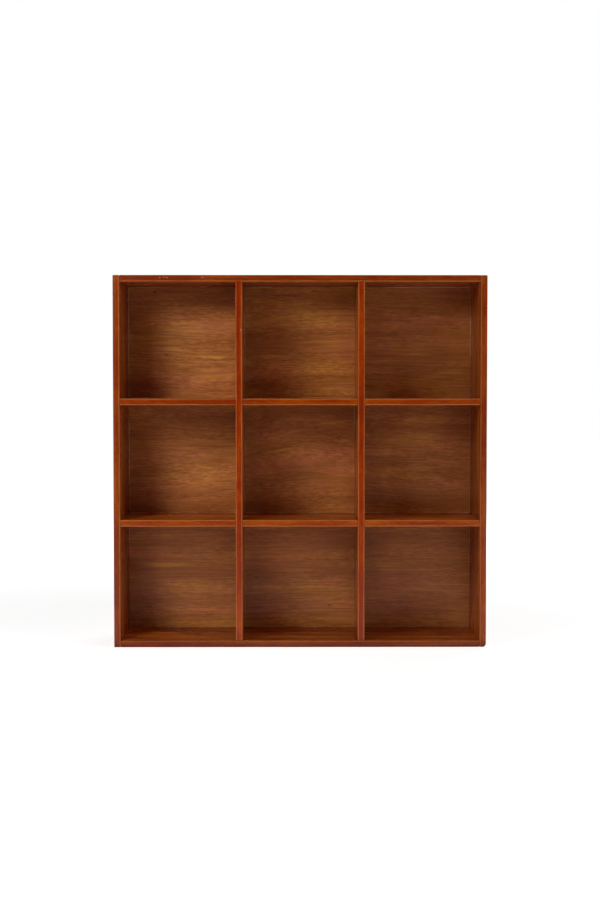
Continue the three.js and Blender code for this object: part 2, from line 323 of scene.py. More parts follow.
def arris_rings(outline, radii, reach, half, side, worn_and_lit):
    """Rings that ease one edge all round, from the wall to the face, as outlines, levels and rubbed wear
    with painted highlight.

    The arris is a quarter circle: depth = r * (1 - cos t) and level = half - r * (1 - sin t), for t
    from 0 to a right angle. A ring at `reach` before it and one after it keep the flat parts flat.
    """
    none = radii * 0
    rings = [(inset(outline, none), side * (half - radii - reach), 0.0)]
    for turn in np.linspace(0, np.pi / 2, 4):
        depth, drop = radii * (1 - math.cos(turn)), radii * (1 - math.sin(turn))
        rings.append((inset(outline, depth), side * (half - drop), worn_and_lit))
    rings.append((inset(outline, radii + reach), side * (half + none), 0.0))
    return rings


def round_ends(rings, corners, ends, half, side, reach):
    """Cuts the rings of an outer side to the quarter circles that round the board's two ends.

    A point that lies d below the outer face keeps r - sqrt(2 * r * d - d * d) away from the end,
    and on the face itself it keeps `reach` more. A radius that goes deeper than the arris needs
    more rings, which come first.
    """
    flat, level, wear_and_highlight = rings[0]
    shares = (0.65, 0.53, 0.41) if max(ends) > 2 * MM else ()
    deep = [(flat, np.full_like(level, side * (half - share * max(ends))), wear_and_highlight) for share in shares]
    rings, cut = [*deep, *rings], []
    for k, (flat, level, wear_and_highlight) in enumerate(rings):
        inside = reach if k == len(rings) - 1 else 0.0
        lengthwise = flat[:, 0]
        for (end, _), radius, limit, way in zip(corners[:2], ends, (np.maximum, np.minimum), (1, -1)):
            drop = np.clip(half - side * level, 0.0, radius)
            kept = radius - np.sqrt(2 * radius * drop - drop * drop) + inside
            lengthwise = limit(lengthwise, end + way * kept)
        cut.append((np.stack([lengthwise, flat[:, 1]], 1), level, wear_and_highlight))
    return cut


def rebated(below, above, inner, step, reach_from, reach_to, land):
    """The rings of a board whose rear edge, on the inner side of the step, comes forward to the land
    between two places along the board, so that the panel fits behind it."""
    def forward(ring):
        flat, level, wear_and_highlight = ring
        inside = (flat[:, 0] > reach_from) & (flat[:, 0] < reach_to)
        rear = np.where(inside, np.minimum(flat[:, 1], land), flat[:, 1])
        return np.stack([flat[:, 0], rear], 1), level, wear_and_highlight

    flat = below[-1][0]
    shoulder = (flat, np.full(len(flat), step), 0.0)
    if inner < 0:
        return [*map(forward, below), forward(shoulder), shoulder, *above]
    return [*below, shoulder, forward(shoulder), *map(forward, above)]


def eased_plate(name, low, high, corners, arris, outer=0, ends=(), rebate=None, stops=()):
    """A plate as rings of its eased outline, stacked through its thickness.

    The rings run from one face over its arris, along the edge and over the other arris. The outer
    side of a case board is -1 or 1: its arris gets no rubbed and highlit colour, and where `ends` gives
    two radii, the board's two ends are rounded there. Attribute `wear_and_highlight` is 1 along the
    arrises drawn rubbed and pale with painted highlight, `lit_from_above` is 1 on a face that looks up,
    which is painted paler as if lit from above, and `timber` is the place in the timber: along the
    grain, along the other long side and through the plate.
    """
    size, seed = sizes(), PLATES[name]["seed"]
    along, across, through = axes = PLATES[name]["axes"]
    outline = eased_outline(corners, arris, size.wear_reach, size.edge_step, stops)
    path = inset(outline, np.zeros(len(outline[0])))
    travelled = np.concatenate([[0], np.linalg.norm(np.diff(path, axis=0), axis=1).cumsum()])
    middle, half = (low[through] + high[through]) / 2, (high[through] - low[through]) / 2
    halves = []
    for side in (-1, 1):
        radii = arris * (1 + size.unevenness * smooth_noise(travelled, size.wave, seed * 10 + side))
        made = arris_rings(outline, radii, size.wear_reach, half, side, float(side != outer))
        if side == outer and ends:
            made = round_ends(made, corners, ends, half, side, size.wear_reach)
        halves.append(made[::-1] if side < 0 else made)
    below, above = halves
    rings = rebated(below, above, **rebate) if rebate else [*below, *above]

    points = np.zeros((len(rings), len(path), 3))
    points[:, :, along] = [flat[:, 0] for flat, _, _ in rings]
    points[:, :, across] = [flat[:, 1] for flat, _, _ in rings]
    points[:, :, through] = [middle + level for _, level, _ in rings]
    wear_and_highlight = np.array([w for _, _, w in rings])[:, None] * np.ones(len(path))
    points = points.reshape(-1, 3)
    shift = np.random.default_rng(seed).uniform(-5, 5, 3)
    faces = ring_faces(len(rings), len(path), flip=axes != LEVEL)
    return make_piece(name + "_board", points, faces,
                      {"wear_and_highlight": wear_and_highlight.ravel(), "timber": points[:, list(axes)] + shift,
                       "edge_darkening": np.full(len(points), PLATES[name].get("edge_darkening", 0.0)),
                       "lit_from_above": (points[:, through] > middle) * float(through == Z)})


def sanded_box(name):
    """A plate's box, with the faces that lie on the outside of the shelf sanded in by the skin."""
    low, high = (Vector(corner) for corner in BOXES[name])
    for axis in (X, Y, Z):
        low[axis] += sizes().skin * (low[axis] - CAD_BOX[0][axis] < MM / 10)
        high[axis] -= sizes().skin * (CAD_BOX[1][axis] - high[axis] < MM / 10)
    return low, high


def square_corners(low, high, axes):
    a, b = axes[:2]
    return [(low[a], low[b]), (high[a], low[b]), (high[a], high[b]), (low[a], high[b])]


# ---- The boards and the panel ----


def case_board(name):
    """A side, the top or the bottom: a plate with the panel's rebate along its rear inside edge. A
    side also has rounded outside corners at its two ends."""
    low, high = sanded_box(name)
    axes = PLATES[name]["axes"]
    along, _, through = axes
    inner = -1 if high[through] > SHELF_MIDDLE[through] else 1
    panel_low, panel_high = BOXES["back_panel"]
    fit = PANEL_FRONT - BOXES["left_divider"][1].y
    edge = panel_high[through] + fit if inner < 0 else panel_low[through] - fit
    rebate = {"inner": inner, "step": edge - (low[through] + high[through]) / 2,
              "reach_from": -1.0, "reach_to": 1.0, "land": PANEL_FRONT - fit}
    ends, stops = (), ()
    if along == Z:
        reach = (panel_low.z - fit, panel_high.z + fit)
        rebate["reach_from"], rebate["reach_to"] = reach
        stops = (*reach, reach[0] + fit, reach[1] - fit)
        plain = sizes().eased_corner
        ends = (sizes().rounded_corner if name == "right_side" else plain, plain)
    corners = square_corners(low, high, axes)
    return eased_plate(name, low, high, corners, sizes().arris, -inner, ends, rebate, stops)


def grid_board(name):
    """A divider or a shelf: a plate with a slot for each board that crosses it. A divider's slots run
    in from the rear and a shelf's from the front, and they meet near the middle of the depth."""
    low, high = BOXES[name]
    along = PLATES[name]["axes"][0]
    start, end, front, rear = low[along], high[along], low.y, high.y
    crossing = SHELVES if name in DIVIDERS else DIVIDERS
    meeting, gap = (front + rear) / 2, sizes().lap_fit / 2
    cut = []
    for other in sorted(crossing, key=lambda key: BOXES[key][0][along]):
        near, far = (corner[along] for corner in BOXES[other])
        cut.append((near - sizes().slot_fit, far + sizes().slot_fit))
    corners = [(start, front)]
    if name in SHELVES:
        bottom = meeting + gap
        for near, far in cut:
            corners += [(near, front), (near, bottom), (far, bottom), (far, front)]
    corners += [(end, front), (end, rear)]
    if name in DIVIDERS:
        bottom = meeting - gap
        for near, far in cut[::-1]:
            corners += [(far, rear), (far, bottom), (near, bottom), (near, rear)]
    corners += [(start, rear)]
    return eased_plate(name, low, high, corners, sizes().arris)


def back_panel():
    """The plywood panel: a thin plate with hardly eased edges."""
    low, high = sanded_box("back_panel")
    corners = square_corners(low, high, PLATES["back_panel"]["axes"])
    return eased_plate("back_panel", low, high, corners, sizes().panel_arris)


# ---- Glue and putty ----

# The slow and the fine wave of a bead, and how far putty spreads, as a share of a brad's head.
GLUE_WAVES = (26 * MM, 5 * MM)
PUTTY_SPREAD = 0.65


def glue_bead(start, end, up, seed):
    """A bead in the corner between a board and the panel, as rings of points.

    It is a quarter circle carried from start to end: place + r * (cos t * up + sin t * forward),
    where r follows smooth noise and falls to nothing where the glue stayed inside the joint.
    """
    run = (end - start).length
    share = np.linspace(0, 1, 2 + int(run / (2 * MM)))
    slow, fine = (smooth_noise(share * run, wave, seed + k) for k, wave in enumerate(GLUE_WAVES))
    thick, thin = sizes().glue_bead, sizes().glue_bead / 20
    radius = np.clip((0.15 + 0.8 * (slow + 0.35 * fine)) * thick, thin, thick)
    radius[[0, -1]] = thin
    up, forward = np.array(up), np.array((0.0, -1.0, 0.0))
    line = np.array(start) + share[:, None] * np.array(end - start)
    turn = np.linspace(0, np.pi / 2, 5)[:, None]
    rim = np.cos(turn) * up + np.sin(turn) * forward
    arc = line[:, None] + radius[:, None, None] * rim[None]
    root = line[:, None] - thin * (up + forward)
    return np.concatenate([root, arc], 1)


def glue_lines():
    """Beads round the rear of every cell, in the corners between its four boards and the panel."""
    across = [BOXES[n] for n in ("left_side", "left_divider", "right_divider", "right_side")]
    upward = [BOXES[n] for n in ("bottom_board", "lower_shelf", "upper_shelf", "top_board")]
    points, faces, seed = [], [], 100
    for i in range(3):
        for j in range(3):
            left, right = across[i][1].x, across[i + 1][0].x
            low, high = upward[j][1].z, upward[j + 1][0].z
            ring = [Vector((x, PANEL_FRONT, z)) for x, z in
                    ((left, low), (right, low), (right, high), (left, high))]
            ups = [(0, 0, 1), (-1, 0, 0), (0, 0, -1), (1, 0, 0)]
            for k, up in enumerate(ups):
                seed += 2
                bead = glue_bead(ring[k], ring[(k + 1) % 4], up, seed)
                offset = sum(len(p) for p in points)
                faces += [[v + offset for v in face] for face in ring_faces(*bead.shape[:2])]
                points.append(bead.reshape(-1, 3))
    return make_piece("glue_lines", np.concatenate(points), faces)


def putty_spots():
    """A low dome over each brad of the case: place + rho * (a * cos t, b * sin t) in the board's
    face, and height * (1 - rho^2) outwards, closed below by a flat ring inside the wood."""
    turn = np.linspace(0, 2 * np.pi, 16, endpoint=False)
    rings = [(0.05, -1.0), (1.0, -1.0), *((rho, 1 - rho * rho) for rho in (1.0, 0.75, 0.5, 0.25, 0.02))]
    points, faces = [], []
    for node in sorted(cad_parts):
        if not node.startswith("brad_") or node.startswith("brad_back_"):
            continue
        low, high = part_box(node)
        centre, span = (low + high) / 2, high - low
        drive = max((X, Y, Z), key=lambda axis: span[axis])
        outward = 1 if centre[drive] > SHELF_MIDDLE[drive] else -1
        face = CAD_BOX[1 if outward > 0 else 0][drive] - outward * sizes().skin
        flat = [axis for axis in (X, Y, Z) if axis != drive]
        spot = np.zeros((len(rings), len(turn), 3))
        for k, (share, rise) in enumerate(rings):
            for axis, wave in zip(flat, (np.cos(turn), np.sin(turn))):
                spot[k, :, axis] = centre[axis] + share * PUTTY_SPREAD * span[axis] * wave
            spot[k, :, drive] = face + outward * rise * sizes().putty_proud
        offset = sum(len(p) for p in points)
        flip = (drive != Y) != (outward > 0)
        faces += [[v + offset for v in face] for face in ring_faces(len(rings), len(turn), flip)]
        points.append(spot.reshape(-1, 3))
    return make_piece("brad_putty", np.concatenate(points), faces)


# ---- Shader nodes ----


class Graph:
    """Adds nodes to a tree. An input takes a value, or an output to be linked to it."""

    def __init__(self, tree):
        self.tree = tree

    def feed(self, socket, value):
        """Links an input socket to an output, or sets it to a value."""
        if isinstance(value, bpy.types.NodeSocket):
            self.tree.links.new(value, socket)
        else:
            socket.default_value = value

    def add(self, kind, inputs=None, **settings):
        node = self.tree.nodes.new(kind)
        for key, value in settings.items():
            setattr(node, key, value)
        for key, value in (inputs or {}).items():
            self.feed(node.inputs[key], value)
        return node

    def group(self, name, inputs):
        """A node group with its inputs set; returns its outputs."""
        return self.add("ShaderNodeGroup", inputs, node_tree=bpy.data.node_groups[name]).outputs

    def here(self):
        """The object coordinates, which are the shelf's own, because every piece lies at the origin."""
        return self.add("ShaderNodeTexCoord").outputs["Object"]

    def attribute(self, name, output="Fac"):
        return self.add("ShaderNodeAttribute", attribute_name=name).outputs[output]

    def math(self, operation, a, b=0.0, clamp=False):
        node = self.add("ShaderNodeMath", {0: a, 1: b}, operation=operation, use_clamp=clamp)
        return node.outputs[0]

    def plus(self, a, b, clamp=False):
        return self.math("ADD", a, b, clamp)

    def minus(self, a, b, clamp=False):
        return self.math("SUBTRACT", a, b, clamp)

    def times(self, a, b, clamp=False):
        return self.math("MULTIPLY", a, b, clamp)

    def vector(self, operation, a, b):
        return self.add("ShaderNodeVectorMath", {0: a, 1: b}, operation=operation).outputs["Vector"]

    def length(self, vector):
        return self.add("ShaderNodeVectorMath", {0: vector}, operation="LENGTH").outputs["Value"]

    def split(self, vector):
        """The outputs X, Y and Z of a vector."""
        return self.add("ShaderNodeSeparateXYZ", {0: vector}).outputs

    def joined(self, x, y, z):
        return self.add("ShaderNodeCombineXYZ", {"X": x, "Y": y, "Z": z}).outputs[0]

    def noise(self, place, scale, detail=2.0, roughness=0.5):
        """Noise over a place that is multiplied by one number, or by one for each axis."""
        scale = (scale, scale, scale) if isinstance(scale, float) else scale
        inputs = {"Vector": self.vector("MULTIPLY", place, scale), "Scale": 1.0, "Detail": detail,
                  "Roughness": roughness}
        return self.add("ShaderNodeTexNoise", inputs).outputs["Fac"]

    def between(self, value, low, high, to_low=0.0, to_high=1.0):
        """The value mapped smoothly from one range to another, and held inside it."""
        inputs = {"Value": value, "From Min": low, "From Max": high, "To Min": to_low, "To Max": to_high}
        node = self.add("ShaderNodeMapRange", inputs, interpolation_type="SMOOTHSTEP")
        return node.outputs["Result"]

    def blend(self, factor, a, b, mode="MIX"):
        """Colour a where the factor is 0, and colour b, or its blend with a, where it is 1."""
        node = self.add("ShaderNodeMix", data_type="RGBA", blend_type=mode)
        sockets = {socket.identifier: socket for socket in (*node.inputs, *node.outputs)}
        self.feed(sockets["Factor_Float"], factor)
        for key, value in (("A_Color", a), ("B_Color", b)):
            plain = not isinstance(value, bpy.types.NodeSocket)
            self.feed(sockets[key], (*value[:3], 1.0) if plain else value)
        return sockets["Result_Color"]


def new_group(name, inputs, outputs):
    """An empty shader node group with named inputs, which are numbers or vectors, and outputs, which
    are numbers; returns its graph and its inputs' values."""
    tree = bpy.data.node_groups.new(name, "ShaderNodeTree")
    for key, default in inputs.items():
        kind = "NodeSocketFloat" if isinstance(default, float) else "NodeSocketVector"
        tree.interface.new_socket(key, in_out="INPUT", socket_type=kind).default_value = default
    for key in outputs:
        tree.interface.new_socket(key, in_out="OUTPUT", socket_type="NodeSocketFloat")
    graph = Graph(tree)
    return graph, graph.add("NodeGroupInput").outputs


def wood_figure():
    """Bands, streaks and pores of straight-grained timber.

    The place is stretched along the grain, so that noise becomes streaks, and is first pushed across
    the grain by a slow noise, so that the streaks wander. Short dashes come in clusters. Tone is 0
    in dark and 1 in pale wood, and Streak is 1 along the fine dark lines.
    """
    graph, given = new_group(
        "Wood figure",
        {"Place": ORIGIN, "Wander": 0.003, "Bands": 60.0, "Streaks": 420.0, "Stretch": 0.05,
         "Pore Amount": 0.35},
        ("Tone", "Streak", "Pore", "Height"))
    slow = graph.noise(given["Place"], (4.0, 9.0, 9.0), 1.0)
    push = graph.times(graph.times(graph.minus(slow, 0.5), given["Wander"]), 4.0)
    place = graph.vector("ADD", given["Place"], graph.joined(0.0, push, push))

    def stretched(density, detail, roughness, shorter):
        lengthwise = graph.times(graph.times(density, given["Stretch"]), shorter)
        return graph.noise(place, graph.joined(lengthwise, density, density), detail, roughness)

    bands = stretched(given["Bands"], 3.0, 0.6, 1.5)
    streaks = stretched(given["Streaks"], 3.0, 0.65, 0.4)
    dashes = stretched(given["Streaks"], 2.0, 0.6, 3.2)
    pores = stretched(1100.0, 2.0, 0.5, 2.5)
    tone = graph.plus(graph.times(bands, 0.75), graph.times(streaks, 0.25))
    clusters = graph.noise(place, (14.0, 60.0, 60.0))
    dashes = graph.times(graph.minus(dashes, 0.5), graph.between(clusters, 0.62, 0.38, 0.3, 1.3))
    fine = graph.plus(graph.plus(graph.times(streaks, 0.45), graph.times(dashes, 0.6)), 0.275)
    cut = graph.minus(0.78, graph.times(given["Pore Amount"], 0.4))
    pore = graph.between(pores, cut, graph.plus(cut, 0.07))
    graph.add("NodeGroupOutput", {"Tone": graph.between(tone, 0.37, 0.63),
                                  "Streak": graph.between(fine, 0.62, 0.38), "Pore": pore,
                                  "Height": graph.minus(graph.times(fine, 0.5), pore)})


def rubbed_highlit_edge():
    """Where the stain is rubbed off an arris, drawn pale enough to paint its highlight too: its wear,
    broken up by noise along the edge.
    """
    graph, given = new_group("Rubbed and highlit edge", {"Wear": 0.0, "Place": ORIGIN, "Amount": 0.8}, ("Mask",))
    patches = graph.noise(given["Place"], 45.0, 3.0, 0.6)
    fine = graph.noise(given["Place"], 420.0, 2.0, 0.6)
    lump = graph.plus(graph.times(patches, 0.65), graph.times(fine, 0.35))
    worn_and_lit = graph.times(graph.between(given["Wear"], 0.05, 0.75), given["Amount"])
    mask = graph.times(worn_and_lit, graph.between(lump, 0.30, 0.62, 0.4, 1.0), clamp=True)
    graph.add("NodeGroupOutput", {"Mask": mask})


def spot_mark():
    """A small mark: 1 inside an ellipsoid round a centre, with a ragged edge, and 0 outside it."""
    graph, given = new_group(
        "Spot mark",
        {"Position": ORIGIN, "Centre": ORIGIN, "Radii": (0.001, 0.001, 0.001), "Ragged": 0.5}, ("Mask",))
    away = graph.vector("SUBTRACT", given["Position"], given["Centre"])
    reach = graph.length(graph.vector("DIVIDE", away, given["Radii"]))
    rough = graph.minus(graph.noise(given["Position"], 700.0), 0.5)
    ragged = graph.times(graph.times(rough, given["Ragged"]), 2.0)
    graph.add("NodeGroupOutput", {"Mask": graph.between(graph.plus(reach, ragged), 1.0, 0.55)})


def lens_patch():
    """A soft lens along the grain: 1 in its middle and 0 at its rim, along a sloping line."""
    graph, given = new_group(
        "Flame",
        {"Position": ORIGIN, "Centre": ORIGIN, "Slope": 0.0, "Radii": (0.03, 1.0, 0.003)}, ("Mask",))
    away = graph.split(graph.vector("SUBTRACT", given["Position"], given["Centre"]))
    level = graph.minus(away["Z"], graph.times(away["X"], given["Slope"]))
    flat = graph.joined(away["X"], 0.0, level)
    reach = graph.length(graph.vector("DIVIDE", flat, given["Radii"]))
    graph.add("NodeGroupOutput", {"Mask": graph.between(reach, 1.0, 0.15)})


def varnish():
    """A brushed varnish's slow ripple, and how its gloss varies over the surface."""
    graph, given = new_group("Varnish", {"Place": ORIGIN, "Gloss": 0.4}, ("Roughness", "Ripple"))
    patches = graph.noise(given["Place"], (14.0, 30.0, 30.0), 3.0, 0.6)
    rough = graph.plus(graph.minus(given["Gloss"], 0.07), graph.times(patches, 0.14))
    ripple = graph.noise(given["Place"], (60.0, 220.0, 220.0))
    graph.add("NodeGroupOutput", {"Roughness": rough, "Ripple": ripple})


def uneven_stain():
    """How unevenly a brushed stain took: a slow noise along the grain, broken up by a finer one."""
    graph, given = new_group(
        "Uneven stain",
        {"Place": ORIGIN, "Slow": (14.0, 60.0, 60.0), "Fine": (140.0, 420.0, 420.0), "Break": 0.35},
        ("Mask",))
    slow = graph.noise(given["Place"], given["Slow"])
    fine = graph.noise(given["Place"], given["Fine"], 3.0, 0.6)
    mixed = graph.plus(slow, graph.times(graph.minus(fine, slow), given["Break"]))
    graph.add("NodeGroupOutput", {"Mask": graph.between(mixed, 0.36, 0.64)})


def painted_cell_shade():
    """Painted shade against the boards round each cell: 1 at the boards, falling to 0 inside.

    The distance to the nearest board is a triangle wave of the position, one along X and one along
    Z, with the cells' pitch. Noise makes its edge uneven.
    """
    graph, given = new_group(
        "Painted cell shade",
        {"Position": ORIGIN, "Pitch": (0.13, 0.13, 0.13), "Start": ORIGIN, "Reach": 0.03}, ("Mask",))
    place = graph.split(graph.vector("SUBTRACT", given["Position"], given["Start"]))
    pitch = graph.split(given["Pitch"])
    uneven = graph.minus(graph.noise(given["Position"], 30.0), 0.5)
    uneven = graph.times(uneven, given["Reach"])
    clear = []
    for axis in ("X", "Z"):
        away = graph.math("PINGPONG", place[axis], graph.times(pitch[axis], 0.5))
        away = graph.math("DIVIDE", graph.plus(away, uneven), given["Reach"])
        clear.append(graph.minus(1.0, graph.between(away, 0.0, 1.0, 1.0, 0.0)))
    graph.add("NodeGroupOutput", {"Mask": graph.minus(1.0, graph.times(*clear))})


def build_groups():
    for make in (wood_figure, rubbed_highlit_edge, spot_mark, lens_patch, varnish, uneven_stain, painted_cell_shade):
        make()


# ---- Materials ----


def new_material(name):
    """An empty material, its graph and its Principled shader, already linked to the output."""
    material = bpy.data.materials.new(name)
    material.use_nodes = True
    material.node_tree.nodes.clear()
    graph = Graph(material.node_tree)
    shader = graph.add("ShaderNodeBsdfPrincipled")
    graph.add("ShaderNodeOutputMaterial", {"Surface": shader.outputs[0]})
    return material, graph, shader


def bump(graph, shader, height, strength, depth):
    node = graph.add("ShaderNodeBump", {"Height": height, "Strength": strength, "Distance": depth})
    graph.feed(shader.inputs["Normal"], node.outputs["Normal"])


def varnish_wood(graph, shader, wood, coat, relief, strength):
    """Gives the shader the wood's colour, the coat's gloss, and the relief of both."""
    graph.feed(shader.inputs["Base Color"], wood)
    graph.feed(shader.inputs["Roughness"], coat["Roughness"])
    shader.inputs["Specular IOR Level"].default_value = 0.22
    bump(graph, shader, graph.plus(relief, coat["Ripple"]), strength, 0.3 * MM)


def stained_wood(name, rub, edge, edge_dark, marks):
    """Solid timber under a stain and a thin varnish. The front edges took up more stain than the
    faces, the stain is uneven along the boards, and it is rubbed pale along the arrises, pale enough
    to paint their highlight too. Faces that look up are painted paler, as if lit from above. Marks on
    the front edges are given as places across and up, half widths and heights, and tints."""
    c = colours()
    material, graph, shader = new_material(name)
    place, here = graph.attribute("timber", "Vector"), graph.here()
    depth = graph.split(here)["Y"]
    on_edge = graph.between(depth, SHELF_FRONT + 0.3 * MM, SHELF_FRONT + 0.8 * MM, 1.0, 0.0)
    figure = graph.group("Wood figure", {"Place": place, "Wander": 0.002, "Bands": 70.0,
                                         "Streaks": 520.0, "Stretch": 0.04, "Pore Amount": 0.2})
    coat = graph.group("Varnish", {"Place": place, "Gloss": 0.25})
    rubbed = graph.group("Rubbed and highlit edge", {"Wear": graph.attribute("wear_and_highlight"), "Place": place, "Amount": rub})
    patches = graph.group("Uneven stain", {"Place": place})["Mask"]
    # The case's front edges are drawn darker by each board's edge darkening.
    soaked = graph.times(graph.times(graph.attribute("edge_darkening"), on_edge), 0.5)
    # Faces that look up take the paler colour, which paints light falling from above.
    pale = graph.blend(on_edge, graph.blend(graph.attribute("lit_from_above"), c.stain, c.lit_from_above), edge)
    wood = graph.blend(figure["Tone"], graph.blend(on_edge, c.stain_dark, edge_dark), pale)
    wood = graph.blend(patches, wood, c.patch, "MULTIPLY")
    wood = graph.blend(graph.times(figure["Streak"], 0.6), wood, c.streak, "MULTIPLY")
    wood = graph.blend(soaked, wood, c.streak, "MULTIPLY")
    wood = graph.blend(graph.times(figure["Pore"], 0.5), wood, c.pore)
    # Rubbed wear along the arrises, drawn pale enough to paint their highlight too.
    wood = graph.blend(rubbed["Mask"], wood, c.worn_highlit_edge)
    for x, z, wide, high, tint in marks:
        mark = {"Position": here, "Centre": (x * MM, SHELF_FRONT, z * MM),
                "Radii": (wide * MM, 2.0 * MM, high * MM), "Ragged": 0.9}
        wood = graph.blend(graph.group("Spot mark", mark)["Mask"], wood, getattr(c, tint))
    varnish_wood(graph, shader, wood, coat, graph.times(figure["Height"], 0.4), 0.25)
    return material


def flames_and_shade(graph, here):
    """How much paler or darker the panel is than elsewhere: its flames and the broad patches of painted
    shade, added together.
    Their outlines are broken up by one noise that all of them share."""
    rough = graph.noise(here, (60.0, 1.0, 400.0))
    lift = graph.times(graph.minus(rough, 0.5), 4.0 * MM)
    moved = graph.vector("ADD", here, graph.joined(0.0, 0.0, lift))
    total = 0.0
    for x, z, half_length, half_height, slope, strength in FLAMES_AND_SHADE:
        shape = {"Position": moved, "Centre": (x * MM, 0.0, z * MM), "Slope": slope,
                 "Radii": (half_length * MM, 1.0, half_height * MM)}
        total = graph.plus(graph.times(graph.group("Flame", shape)["Mask"], strength), total)
    return total


def veneer():
    """The panel's face veneer, thinly varnished. Its figure runs on behind the grid, in yellower and
    redder patches. Painted shade darkens it along the boards of each cell, most along their left and
    upper sides, and the broad dark flames paint shade over the right column and the lower parts of
    some cells. The rear veneer is a part of the figure that lies elsewhere, and has no flames and no
    painted shade."""
    c = colours()
    material, graph, shader = new_material("panel_veneer")
    here = graph.here()
    parts = graph.split(here)
    behind = graph.between(parts["Y"], PANEL_FRONT + 0.3 * MM, PANEL_FRONT + 0.9 * MM)
    in_front = graph.minus(1.0, behind)
    elsewhere = graph.joined(graph.times(behind, 0.7), graph.times(behind, 0.5), 0.0)
    place = graph.vector("ADD", graph.attribute("timber", "Vector"), elsewhere)
    off_middle = graph.math("ABSOLUTE", graph.minus(parts["Z"], SHELF_MIDDLE.z))
    wander = graph.between(off_middle, 40.0 * MM, 110.0 * MM, 0.016, 0.003)
    figure = graph.group("Wood figure", {"Place": place, "Wander": wander, "Bands": 50.0,
                                         "Streaks": 640.0, "Stretch": 0.06, "Pore Amount": 0.3})
    coat = graph.group("Varnish", {"Place": place, "Gloss": 0.33})
    cell_shade = graph.group("Painted cell shade", {"Position": here, "Pitch": CELL_PITCH, "Start": SHADE_START})
    patches = graph.group("Uneven stain", {"Place": place, "Slow": (9.0, 40.0, 1.0),
                                           "Fine": (90.0, 700.0, 1.0), "Break": 0.5})["Mask"]
    # Flames of the figure, together with broad painted shade.
    drawn = graph.times(flames_and_shade(graph, here), in_front)
    wood = graph.blend(graph.minus(patches, drawn, clamp=True), c.veneer, c.veneer_red)
    wood = graph.blend(graph.plus(figure["Tone"], drawn, clamp=True), c.veneer_dark, wood)
    wood = graph.blend(graph.times(figure["Streak"], 0.75), wood, c.streak, "MULTIPLY")
    wood = graph.blend(graph.times(figure["Pore"], 0.4), wood, c.pore)
    # Painted shade along the boards of each cell, on the front of the panel only.
    wood = graph.blend(graph.times(cell_shade["Mask"], in_front), wood, c.cell_shade, "MULTIPLY")
    for x, z, radius, strength in FLECKS:
        mark = {"Position": here, "Centre": (x * MM, PANEL_FRONT, z * MM),
                "Radii": (1.3 * radius * MM, 2.0 * MM, radius * MM), "Ragged": 0.5}
        mask = graph.times(graph.group("Spot mark", mark)["Mask"], strength)
        wood = graph.blend(mask, wood, c.knot)
    varnish_wood(graph, shader, wood, coat, graph.times(figure["Height"], 0.8), 0.3)
    return material


def dried(name, base, gloss, grain):
    """Glue or putty: one colour broken up by noise."""
    material, graph, shader = new_material(name)
    lump = graph.noise(graph.here(), grain, 3.0)
    dark = tuple(0.6 * channel for channel in base)
    graph.feed(shader.inputs["Base Color"], graph.blend(lump, dark, base))
    shader.inputs["Roughness"].default_value = gloss
    bump(graph, shader, lump, 0.2, 0.2 * MM)
    return material


def wire_steel():
    """Drawn steel wire, with a little rust."""
    c = colours()
    material, graph, shader = new_material("brad_steel")
    rust = graph.between(graph.noise(graph.here(), 900.0, 3.0), 0.5, 0.7, 0.0, 0.5)
    graph.feed(shader.inputs["Base Color"], graph.blend(rust, c.steel, c.rust))
    graph.feed(shader.inputs["Roughness"], graph.between(rust, 0.0, 0.5, 0.32, 0.7))
    shader.inputs["Metallic"].default_value = 1.0
    return material


def pale_floor():
    """A pale matt floor, brightened where it is seen directly so that it runs into the white. Near
    the shelf it glows in glossy rays only, which paints a bright reflection into the varnish."""
    material, graph, shader = new_material("pale_floor")
    path = graph.add("ShaderNodeLightPath").outputs
    away = graph.length(graph.here())
    direct = graph.times(path["Is Camera Ray"], graph.between(away, 0.3, 1.1, 0.75, 1.0))
    painted_reflection = graph.times(path["Is Glossy Ray"], graph.between(away, 0.6, 1.8, 0.7, 0.0))
    graph.feed(shader.inputs["Emission Strength"], graph.plus(direct, painted_reflection))
    shader.inputs["Base Color"].default_value = (*colours().floor, 1.0)
    shader.inputs["Roughness"].default_value = 0.9
    shader.inputs["Emission Color"].default_value = WHITE
    return material


def finish_piece(piece, material, node):
    """Gives a piece its material, lets it ride on the shelf, and hides the part it stands for, if any.
    """
    piece.data.materials.clear()
    piece.data.materials.append(material)
    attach(piece, BODY)
    if node:
        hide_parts(node)


# ---- Operators ----


class SHELF_OT_case(Operator):
    """Make the two sides, the top and the bottom"""
    bl_idname = "shelf.case"
    bl_label = "Case"

    def execute(self, context):
        wood = stained_wood("case_wood", 0.7, colours().case_edge, colours().case_edge_dark, CASE_MARKS)
        for name in CASE_BOARDS:
            finish_piece(case_board(name), wood, name)
        return {"FINISHED"}


class SHELF_OT_grid(Operator):
    """Make the dividers and the shelves that interlock with them"""
    bl_idname = "shelf.grid"
    bl_label = "Grid"

    def execute(self, context):
        c = colours()
        upright = stained_wood("divider_wood", 0.9, c.edge, c.edge_dark, GRID_MARKS)
        level = stained_wood("shelf_wood", 0.9, c.shelf_edge, c.shelf_edge_dark, ())
        for name in [*DIVIDERS, *SHELVES]:
            wood = upright if name in DIVIDERS else level
            finish_piece(grid_board(name), wood, name)
        return {"FINISHED"}


class SHELF_OT_panel(Operator):
    """Make the plywood back and the glue along it"""
    bl_idname = "shelf.panel"
    bl_label = "Back panel"

    def execute(self, context):
        finish_piece(back_panel(), veneer(), "back_panel")
        glue = dried("dried_glue", tuple(colours().glue), 0.35, 300.0)
        finish_piece(glue_lines(), glue, None)
        return {"FINISHED"}


